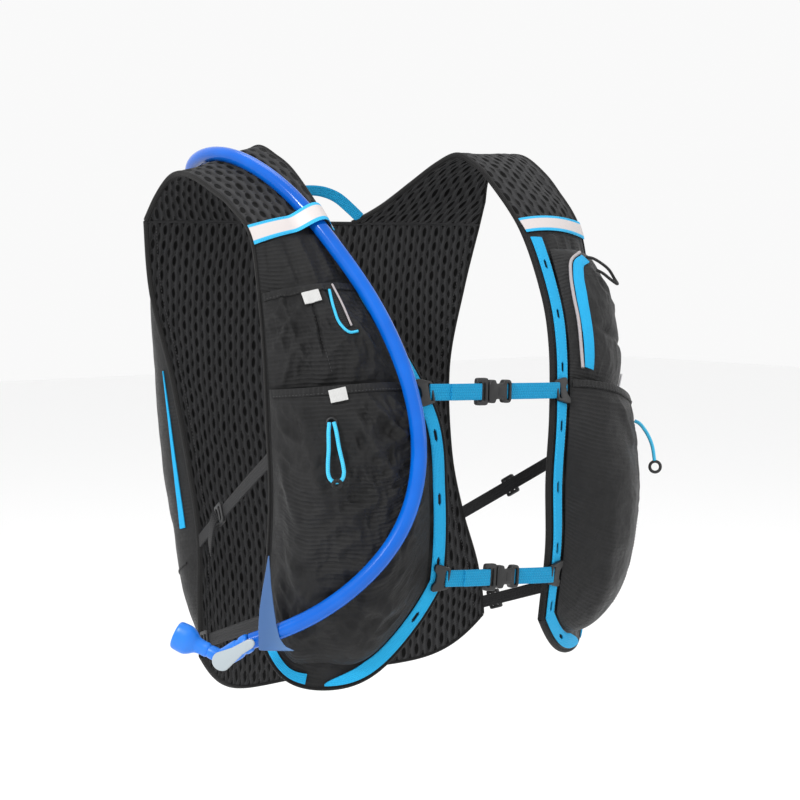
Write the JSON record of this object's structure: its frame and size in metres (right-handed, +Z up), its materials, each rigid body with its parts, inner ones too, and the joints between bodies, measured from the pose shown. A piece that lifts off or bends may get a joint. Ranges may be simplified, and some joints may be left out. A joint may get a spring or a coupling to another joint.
{
  "type": "running hydration vest",
  "caption": "Padded running vest with mesh back panel, back pack, front pockets, buckled chest and side straps, and a drinking hose with a bite valve.",
  "frame": {"origin": "the point midway between the undersides of the two shoulder straps, where the vest sits on the shoulders", "axes": "+Z up, the wearer faces -Y, the wearer's left is +X"},
  "size_m": [0.3874, 0.3249, 0.4287],
  "materials": {
    "mesh_fabric": "black spacer mesh with long holes",
    "ripstop_fabric": "black ripstop cloth with fine ribs",
    "blue_tape": "bright blue woven tape",
    "reflective_tape": "silver grey reflective tape",
    "blue_webbing": "bright blue ribbed webbing",
    "black_webbing": "black ribbed webbing",
    "buckle_plastic": "black moulded plastic",
    "blue_cord": "bright blue elastic cord",
    "black_cord": "black cord",
    "pull_metal": "bare cast metal",
    "tab_fabric": "light grey woven tab",
    "hose_plastic": "glossy blue tube",
    "fin_plastic": "clear smoky blue plastic",
    "valve_plastic": "soft blue plastic",
    "lever_plastic": "cool grey plastic"
  },
  "bodies": {
    "vest": {"back_panel": "mesh_fabric", "shoulder_strap_right": "mesh_fabric", "front_panel_right": "ripstop_fabric", "shoulder_strap_left": "mesh_fabric", "front_panel_left": "ripstop_fabric", "pack_shell": "ripstop_fabric", "pack_edge_right": "blue_tape", "pack_edge_left": "blue_tape", "chest_pocket_right": "ripstop_fabric", "flask_pocket_right": "ripstop_fabric", "zip_pocket_left": "ripstop_fabric", "flask_pocket_left": "ripstop_fabric", "ladder_trim_right": "blue_tape", "hem_tape_right": "blue_tape", "ladder_trim_left": "blue_tape", "hem_tape_left": "blue_tape", "shoulder_band_right": "reflective_tape", "shoulder_band_left": "reflective_tape", "chest_hook_upper_right": "buckle_plastic", "chest_hook_upper_left": "buckle_plastic", "chest_clip_upper": "buckle_plastic", "chest_socket_upper": "buckle_plastic", "chest_web_upper_right": "blue_webbing", "chest_web_upper_left": "blue_webbing", "chest_hook_lower_right": "buckle_plastic", "chest_hook_lower_left": "buckle_plastic", "chest_clip_lower": "buckle_plastic", "chest_socket_lower": "buckle_plastic", "chest_web_lower_right": "blue_webbing", "chest_web_lower_left": "blue_webbing", "side_web_upper_right": "black_webbing", "side_lock_upper_right": "buckle_plastic", "side_web_lower_right": "black_webbing", "side_lock_lower_right": "buckle_plastic", "side_web_upper_left": "black_webbing", "side_lock_upper_left": "buckle_plastic", "side_web_lower_left": "black_webbing", "side_lock_lower_left": "buckle_plastic", "hang_loop": "blue_webbing", "hose": "hose_plastic", "hose_port": "buckle_plastic", "hose_fin": "fin_plastic", "valve_body": "valve_plastic", "mouthpiece": "valve_plastic", "tab_chest_right": "tab_fabric", "tab_flask_right": "tab_fabric", "eyelet_right": "buckle_plastic", "bungee_right": "blue_cord", "slit_edge_right": "blue_tape", "slit_piping_right": "reflective_tape", "zip_piping_left": "reflective_tape", "zip_tape_left": "blue_tape", "cord_pull_left": "black_cord", "zip_pull_left": "pull_metal", "bungee_left": "blue_cord", "ring_left": "buckle_plastic"},
    "lever": {"valve_lever": "lever_plastic"}
  },
  "joints": [
    {"name": "lever_turn", "type": "hinge", "parent": "vest", "child": "lever", "pos_m": [-0.19704, -0.10734, -0.36223], "axis": [-0.7588, -0.6442, -0.0967], "range_deg": [0, 75]}
  ]
}
